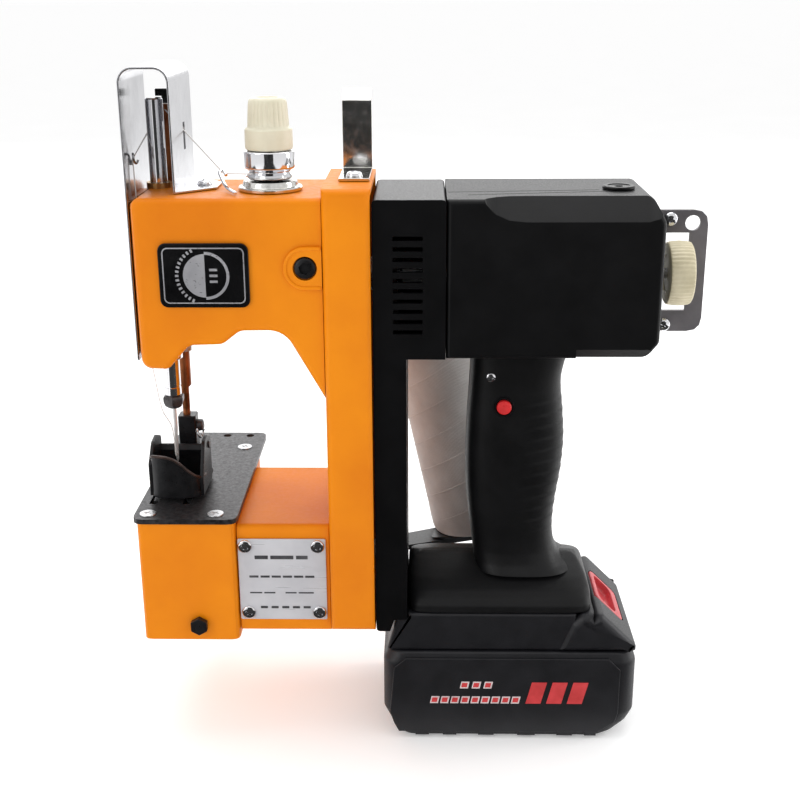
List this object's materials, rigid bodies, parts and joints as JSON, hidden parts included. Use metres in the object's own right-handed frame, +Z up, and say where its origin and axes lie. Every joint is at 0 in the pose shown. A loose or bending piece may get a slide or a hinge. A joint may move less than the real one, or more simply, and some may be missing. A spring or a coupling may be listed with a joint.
{
  "type": "bag closer sewing machine",
  "caption": "Hand-held cordless sewing machine that stitches bags shut: C-shaped frame with needle head and looper arm, motor housing, pistol grip, slide-on battery and thread stand.",
  "frame": {"origin": "middle of the battery's flat base, where the machine stands", "axes": "+Z up, +X from the needle head towards the handwheel, -Y towards the side with the badge and the power button"},
  "size_m": [0.277, 0.1497, 0.331],
  "materials": {
    "yellow_paint": "gloss",
    "black_plastic": "matte",
    "badge": "satin",
    "label": "satin",
    "bed_steel": "satin",
    "black_oxide": "satin",
    "chrome": "polished",
    "cream_plastic": "satin",
    "grey_steel": "satin",
    "red_plastic": "gloss",
    "dark_plastic": "matte",
    "circuit_board": "satin",
    "cell_wrap": "satin",
    "machined_steel": "satin",
    "bronze_bush": "satin",
    "coppered_steel": "satin",
    "pulley_aluminium": "satin",
    "belt_rubber": "matte",
    "tray_paint": "satin",
    "thread": "matte"
  },
  "bodies": {
    "frame": {"head_casting": "yellow_paint", "column_casting": "yellow_paint", "arm_casting": "yellow_paint", "looper_housing": "yellow_paint", "bed_plate": "bed_steel", "badge": "badge", "label_plate": "label", "clamp_bolt": "black_oxide", "hex_bolt": "black_oxide", "strap_guard": "chrome", "thread_guide": "chrome", "wire_hook": "chrome", "tension_base": "chrome", "tension_cup": "chrome", "tension_spring": "machined_steel", "belt_cover": "black_plastic", "housing_half_near": "black_plastic", "housing_half_far": "black_plastic", "housing_cap": "black_plastic", "rear_plate": "grey_steel", "power_switch": "dark_plastic", "control_board": "circuit_board", "motor_can": "machined_steel", "timing_belt": "belt_rubber", "main_shaft_bearing": "machined_steel", "lower_shaft_bearing": "machined_steel", "looper_side_bearing": "machined_steel", "needle_bar_bush_upper": "bronze_bush", "needle_bar_bush_lower": "bronze_bush", "presser_bar_bush": "machined_steel", "thread_tray": "tray_paint", "thread_spindle": "machined_steel"},
    "drive_line": {"motor_armature": "machined_steel", "handwheel": "cream_plastic", "shaft_coupling": "pulley_aluminium", "main_shaft": "machined_steel", "upper_pulley": "pulley_aluminium", "needle_crank": "machined_steel"},
    "lower_line": {"lower_shaft": "machined_steel", "lower_pulley": "pulley_aluminium", "feed_eccentric": "machined_steel"},
    "needle_drive": {"needle_bar": "chrome", "needle_bar_yoke": "machined_steel", "needle_clamp_nut": "black_oxide", "needle": "chrome"},
    "yoke_slider": {"slider_block": "machined_steel"},
    "presser": {"presser_bar": "coppered_steel", "presser_spring": "machined_steel", "thread_hook": "black_oxide", "presser_foot": "black_oxide"},
    "tension_knob": {"tension_nut": "cream_plastic"},
    "button": {"power_button": "red_plastic"},
    "battery": {"battery_case_lower": "dark_plastic", "battery_case_upper": "dark_plastic", "cell_pack": "cell_wrap"},
    "latch": {"battery_latch": "red_plastic"},
    "feed_slide": {"feed_bar": "machined_steel"},
    "feed_teeth": {"feed_dog": "machined_steel"},
    "looper_rocker": {"looper": "machined_steel"},
    "cone": {"thread_cone": "thread"}
  },
  "joints": [
    {"name": "main_shaft_spin", "type": "hinge", "parent": "frame", "child": "drive_line", "pos_m": [-0.0475, 0, 0.2335], "axis": [1, 0, 0], "continuous": true},
    {"name": "lower_shaft_spin", "type": "hinge", "parent": "frame", "child": "lower_line", "pos_m": [-0.1075, 0, 0.085], "axis": [1, 0, 0], "continuous": true},
    {"name": "needle_bar_stroke", "type": "slide", "parent": "frame", "child": "needle_drive", "axis": [0, 0, 1], "range_m": [-0.03, 0]},
    {"name": "yoke_slider_travel", "type": "slide", "parent": "needle_drive", "child": "yoke_slider", "axis": [0, 1, 0], "range_m": [-0.015, 0.015]},
    {"name": "presser_lift", "type": "slide", "parent": "frame", "child": "presser", "axis": [0, 0, 1], "range_m": [0, 0.007], "stiffness_N_per_m": 600, "springref_m": -0.01, "deforming": ["presser_spring"]},
    {"name": "tension_nut_turn", "type": "hinge", "parent": "frame", "child": "tension_knob", "pos_m": [-0.1143, -0.01, 0.3], "axis": [0, 0, 1], "range_deg": [-360, 360]},
    {"name": "power_button_press", "type": "slide", "parent": "frame", "child": "button", "axis": [0, 1, 0], "range_m": [0, 0.0025], "stiffness_N_per_m": 400, "springref_m": -0.002},
    {"name": "battery_slide", "type": "slide", "parent": "frame", "child": "battery", "axis": [1, 0, 0], "range_m": [0, 0.13]},
    {"name": "battery_latch_press", "type": "slide", "parent": "battery", "child": "latch", "axis": [-0.7071, 0, -0.7071], "range_m": [0, 0.003], "stiffness_N_per_m": 500, "springref_m": -0.002},
    {"name": "feed_bar_stroke", "type": "slide", "parent": "frame", "child": "feed_slide", "axis": [0, 1, 0], "range_m": [-0.002, 0.002]},
    {"name": "feed_dog_lift", "type": "slide", "parent": "feed_slide", "child": "feed_teeth", "axis": [0, 0, 1], "range_m": [0, 0.0018]},
    {"name": "looper_swing", "type": "hinge", "parent": "frame", "child": "looper_rocker", "pos_m": [-0.1715, 0, 0.07], "axis": [0, 1, 0], "range_deg": [-8, 12]},
    {"name": "thread_cone_lift", "type": "slide", "parent": "frame", "child": "cone", "axis": [-0.2588, 0, 0.9659], "range_m": [0, 0.185]}
  ],
  "couplings": [
    {"joint": "lower_shaft_spin", "follows": "main_shaft_spin", "ratio": 1}
  ]
}
